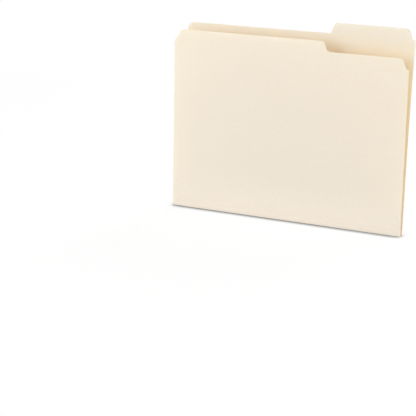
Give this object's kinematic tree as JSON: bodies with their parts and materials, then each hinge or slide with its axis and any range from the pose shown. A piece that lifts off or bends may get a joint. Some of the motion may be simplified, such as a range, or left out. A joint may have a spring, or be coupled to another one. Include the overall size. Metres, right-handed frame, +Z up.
{
  "type": "manila folder",
  "caption": "Letter-size file folder of cream board, folded along scored strips, with an index tab at the right of its back leaf and an undercut front leaf.",
  "frame": {"origin": "middle of the fold's underside, on the surface the folder stands on", "axes": "+X along the fold towards the end with the tab, +Y from the front leaf to the back leaf, +Z up"},
  "size_m": [0.2984, 0.019, 0.2412],
  "materials": {
    "manila_board": "matte"
  },
  "bodies": {
    "base": {"base_strip": "manila_board", "back_score": "manila_board", "front_score": "manila_board"},
    "back": {"back_leaf": "manila_board"},
    "lower": {"lower_strip": "manila_board", "middle_score": "manila_board"},
    "upper": {"upper_strip": "manila_board", "upper_score": "manila_board"},
    "front": {"front_leaf": "manila_board"}
  },
  "joints": [
    {"name": "back_fold", "type": "hinge", "parent": "base", "child": "back", "pos_m": [0, 0.00317, 0.00028], "axis": [-1, 0, 0], "range_deg": [-2.2, 88.5]},
    {"name": "front_fold", "type": "hinge", "parent": "base", "child": "lower", "pos_m": [0, -0.00317, 0.00028], "axis": [1, 0, 0], "range_deg": [-2.2, 88.5]},
    {"name": "middle_fold_back", "type": "hinge", "parent": "lower", "child": "upper", "pos_m": [0, -0.00334, 0.00663], "axis": [1, 0, 0], "range_deg": [0, 90]},
    {"name": "upper_fold_back", "type": "hinge", "parent": "upper", "child": "front", "pos_m": [0, -0.00351, 0.01298], "axis": [1, 0, 0], "range_deg": [0, 90]}
  ]
}
